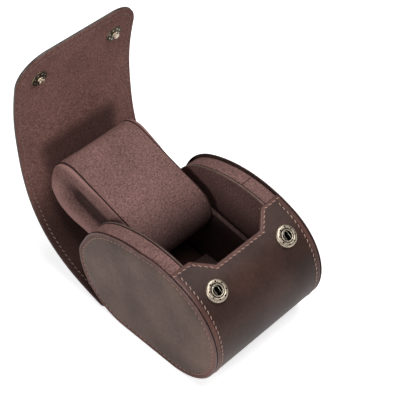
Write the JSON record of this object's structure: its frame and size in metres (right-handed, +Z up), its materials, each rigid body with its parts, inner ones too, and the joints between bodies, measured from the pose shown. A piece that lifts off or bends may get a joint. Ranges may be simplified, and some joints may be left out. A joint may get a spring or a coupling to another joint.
{
  "type": "watch travel case",
  "caption": "Rounded leather travel case for a watch, with a wrap-over snap flap and a loose suede pillow.",
  "frame": {"origin": "middle of the base, on the surface the case stands on", "axes": "+X from the left round end to the right one, +Y to the back, where the flap starts, +Z up"},
  "size_m": [0.0802, 0.1468, 0.1429],
  "materials": {
    "leather": "satin",
    "suede": "matte",
    "flap_suede": "matte",
    "end_board": "matte",
    "body_board": "matte",
    "foam": "matte",
    "socket_metal": "satin",
    "stud_metal": "satin",
    "spring_steel": "satin"
  },
  "bodies": {
    "case": {"left_end_disc": "leather", "left_end_core": "end_board", "left_collar": "suede", "left_inner_panel": "suede", "right_end_disc": "leather", "right_end_core": "end_board", "right_collar": "suede", "right_inner_panel": "suede", "body_leather": "leather", "body_board": "body_board", "body_lining": "suede", "cradle_floor": "suede", "cradle_left_wall": "suede", "cradle_right_wall": "suede", "flap_leather_1": "leather", "flap_lining_1": "flap_suede", "left_socket": "socket_metal", "left_socket_spring": "spring_steel", "left_socket_post": "socket_metal", "right_socket": "socket_metal", "right_socket_spring": "spring_steel", "right_socket_post": "socket_metal"},
    "flap_2": {"flap_leather_2": "leather", "flap_lining_2": "flap_suede"},
    "flap_3": {"flap_leather_3": "leather", "flap_lining_3": "flap_suede"},
    "flap_4": {"flap_leather_4": "leather", "flap_lining_4": "flap_suede"},
    "flap_5": {"flap_leather_5": "leather", "flap_lining_5": "flap_suede"},
    "flap_6": {"flap_leather_6": "leather", "flap_lining_6": "flap_suede"},
    "flap_7": {"flap_leather_7": "leather", "flap_lining_7": "flap_suede"},
    "flap_8": {"flap_leather_8": "leather", "flap_lining_8": "flap_suede"},
    "flap_tab": {"flap_leather_9": "leather", "flap_lining_9": "flap_suede", "left_stud": "stud_metal", "left_stud_cap": "stud_metal", "right_stud": "stud_metal", "right_stud_cap": "stud_metal"},
    "pillow": {"pillow_band": "suede", "pillow_foam": "foam", "pillow_left_panel": "suede", "pillow_right_panel": "suede"}
  },
  "joints": [
    {"name": "flap_hinge", "type": "hinge", "parent": "case", "child": "flap_2", "pos_m": [0, 0.0391, 0.00548], "axis": [1, 0, 0], "range_deg": [-5.5, 35.5]},
    {"name": "flap_bend_3", "type": "hinge", "parent": "flap_2", "child": "flap_3", "pos_m": [0, 0.05663, 0.01169], "axis": [1, 0, 0], "range_deg": [-2.6, 16.78]},
    {"name": "flap_bend_4", "type": "hinge", "parent": "flap_3", "child": "flap_4", "pos_m": [0, 0.072, 0.02148], "axis": [1, 0, 0], "range_deg": [-1.22, 7.89]},
    {"name": "flap_bend_5", "type": "hinge", "parent": "flap_4", "child": "flap_5", "pos_m": [0, 0.08337, 0.03552], "axis": [1, 0, 0], "range_deg": [-1.65, 10.66]},
    {"name": "flap_bend_6", "type": "hinge", "parent": "flap_5", "child": "flap_6", "pos_m": [0, 0.08992, 0.05258], "axis": [1, 0, 0], "range_deg": [-1.6, 10.29]},
    {"name": "flap_bend_7", "type": "hinge", "parent": "flap_6", "child": "flap_7", "pos_m": [0, 0.09267, 0.07098], "axis": [1, 0, 0], "range_deg": [-0.6, 3.88]},
    {"name": "flap_bend_8", "type": "hinge", "parent": "flap_7", "child": "flap_8", "pos_m": [0, 0.09333, 0.08979], "axis": [1, 0, 0], "range_deg": [-0.31, 2]},
    {"name": "flap_tab_bend", "type": "hinge", "parent": "flap_8", "child": "flap_tab", "pos_m": [0, 0.09187, 0.10834], "axis": [1, 0, 0], "range_deg": [-5.5, 24.35]},
    {"name": "pillow_lift", "type": "hinge", "parent": "case", "child": "pillow", "pos_m": [0, -0.03027, 0.21661], "axis": [1, 0, 0], "range_deg": [-18, 2.79]}
  ],
  "couplings": [
    {"joint": "flap_bend_3", "follows": "flap_hinge", "ratio": 0.47271},
    {"joint": "flap_bend_4", "follows": "flap_hinge", "ratio": 0.22226},
    {"joint": "flap_bend_5", "follows": "flap_hinge", "ratio": 0.30018},
    {"joint": "flap_bend_6", "follows": "flap_hinge", "ratio": 0.28985},
    {"joint": "flap_bend_7", "follows": "flap_hinge", "ratio": 0.10921},
    {"joint": "flap_bend_8", "follows": "flap_hinge", "ratio": 0.056332},
    {"joint": "pillow_lift", "follows": "flap_hinge", "ratio": -0.50699}
  ]
}
